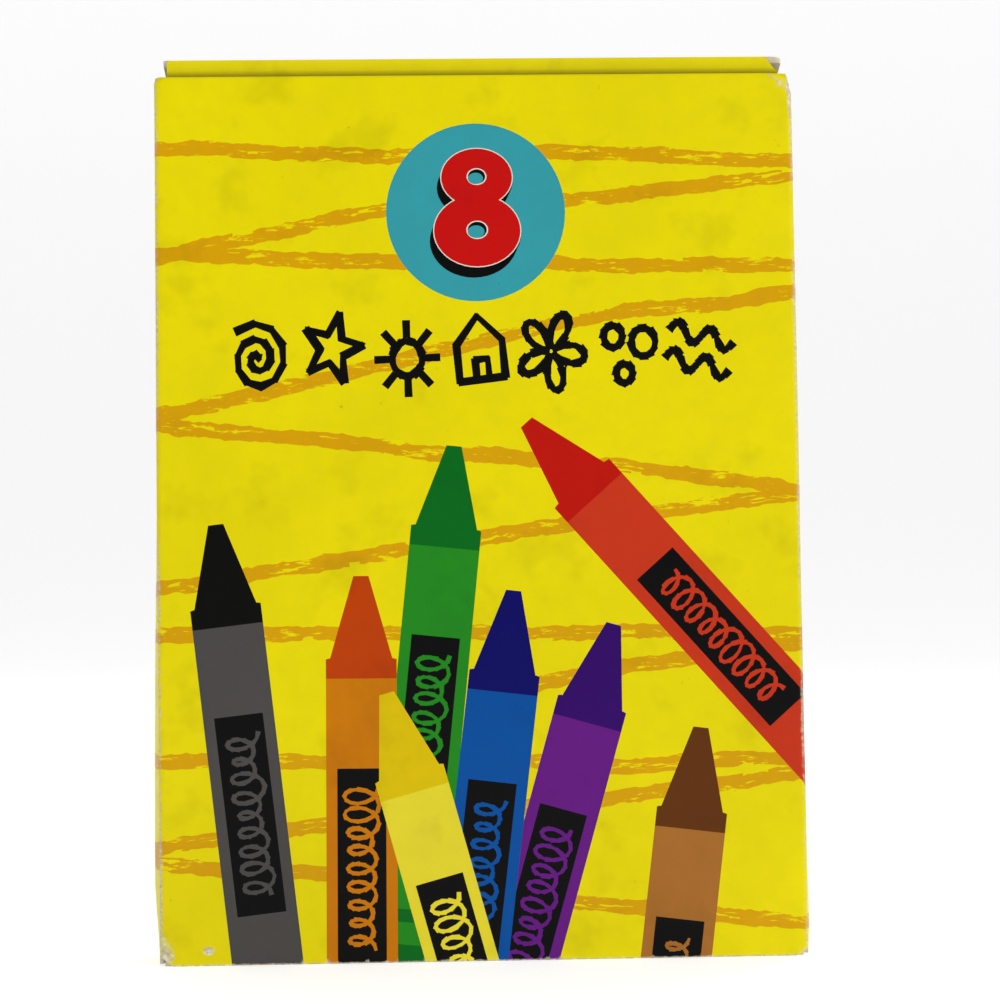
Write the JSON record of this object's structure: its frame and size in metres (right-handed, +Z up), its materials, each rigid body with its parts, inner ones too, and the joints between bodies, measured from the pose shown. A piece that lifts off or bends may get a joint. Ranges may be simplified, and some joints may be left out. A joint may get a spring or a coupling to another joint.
{
  "type": "carton of wax crayons",
  "caption": "Flat paperboard carton with a tuck-in hinged lid, holding a single row of upright wax crayons in paper wrappers.",
  "frame": {"origin": "middle of the base that the carton stands on", "axes": "+Z up along the crayons, front panel faces -Y, +X to the right seen from the front"},
  "size_m": [0.0706, 0.0112, 0.099],
  "materials": {
    "printed_board": "coated, slightly glossy",
    "bare_board": "matte, uncoated",
    "glue": "dried glue",
    "wax_red": "waxy, satin",
    "paper_red": "matte paper",
    "wax_orange": "waxy, satin",
    "paper_orange": "matte paper",
    "wax_yellow": "waxy, satin",
    "paper_yellow": "matte paper",
    "wax_green": "waxy, satin",
    "paper_green": "matte paper",
    "wax_blue": "waxy, satin",
    "paper_blue": "matte paper",
    "wax_violet": "waxy, satin",
    "paper_violet": "matte paper",
    "wax_brown": "waxy, satin",
    "paper_brown": "matte paper",
    "wax_black": "waxy, satin",
    "paper_black": "matte paper"
  },
  "bodies": {
    "carton": {"front_panel": "printed_board", "back_panel": "printed_board", "left_side_panel": "printed_board", "right_side_panel": "printed_board", "seam_flap": "bare_board", "seam_glue": "glue", "bottom_dust_flap_left": "bare_board", "bottom_dust_flap_right": "bare_board", "bottom_inner_flap": "bare_board", "bottom_outer_flap": "printed_board", "bottom_glue": "glue"},
    "lid": {"top_lid": "printed_board"},
    "tuck": {"tuck_flap": "printed_board"},
    "dust_flap_left": {"top_dust_flap_left": "printed_board"},
    "dust_flap_right": {"top_dust_flap_right": "printed_board"},
    "crayon_red": {"crayon_red": "wax_red", "wrapper_red": "paper_red"},
    "crayon_orange": {"crayon_orange": "wax_orange", "wrapper_orange": "paper_orange"},
    "crayon_yellow": {"crayon_yellow": "wax_yellow", "wrapper_yellow": "paper_yellow"},
    "crayon_green": {"crayon_green": "wax_green", "wrapper_green": "paper_green"},
    "crayon_blue": {"crayon_blue": "wax_blue", "wrapper_blue": "paper_blue"},
    "crayon_violet": {"crayon_violet": "wax_violet", "wrapper_violet": "paper_violet"},
    "crayon_brown": {"crayon_brown": "wax_brown", "wrapper_brown": "paper_brown"},
    "crayon_black": {"crayon_black": "wax_black", "wrapper_black": "paper_black"}
  },
  "joints": [
    {"name": "lid_hinge", "type": "hinge", "parent": "carton", "child": "lid", "pos_m": [0, 0.0056, 0.097], "axis": [-1, 0, 0], "range_deg": [-11, 250]},
    {"name": "tuck_fold", "type": "hinge", "parent": "lid", "child": "tuck", "pos_m": [0, -0.00481, 0.09902], "axis": [-1, 0, 0], "range_deg": [-2.3, 50.1]},
    {"name": "dust_flap_left_fold", "type": "hinge", "parent": "carton", "child": "dust_flap_left", "pos_m": [-0.0353, 0, 0.09645], "axis": [0, -1, 0], "range_deg": [-5.6, 125.1]},
    {"name": "dust_flap_right_fold", "type": "hinge", "parent": "carton", "child": "dust_flap_right", "pos_m": [0.0353, 0, 0.09645], "axis": [0, 1, 0], "range_deg": [-5.6, 125.1]},
    {"name": "red_crayon_slide", "type": "slide", "parent": "carton", "child": "crayon_red", "axis": [0, 0, 1], "range_m": [0, 0.0024]},
    {"name": "orange_crayon_slide", "type": "slide", "parent": "carton", "child": "crayon_orange", "axis": [0, 0, 1], "range_m": [0, 0.0024]},
    {"name": "yellow_crayon_slide", "type": "slide", "parent": "carton", "child": "crayon_yellow", "axis": [0, 0, 1], "range_m": [0, 0.0024]},
    {"name": "green_crayon_slide", "type": "slide", "parent": "carton", "child": "crayon_green", "axis": [0, 0, 1], "range_m": [0, 0.0024]},
    {"name": "blue_crayon_slide", "type": "slide", "parent": "carton", "child": "crayon_blue", "axis": [0, 0, 1], "range_m": [0, 0.0024]},
    {"name": "violet_crayon_slide", "type": "slide", "parent": "carton", "child": "crayon_violet", "axis": [0, 0, 1], "range_m": [0, 0.0024]},
    {"name": "brown_crayon_slide", "type": "slide", "parent": "carton", "child": "crayon_brown", "axis": [0, 0, 1], "range_m": [0, 0.0024]},
    {"name": "black_crayon_slide", "type": "slide", "parent": "carton", "child": "crayon_black", "axis": [0, 0, 1], "range_m": [0, 0.0024]}
  ],
  "couplings": [
    {"joint": "tuck_fold", "follows": "lid_hinge", "ratio": 0.2},
    {"joint": "dust_flap_left_fold", "follows": "lid_hinge", "ratio": 0.5},
    {"joint": "dust_flap_right_fold", "follows": "lid_hinge", "ratio": 0.5}
  ]
}
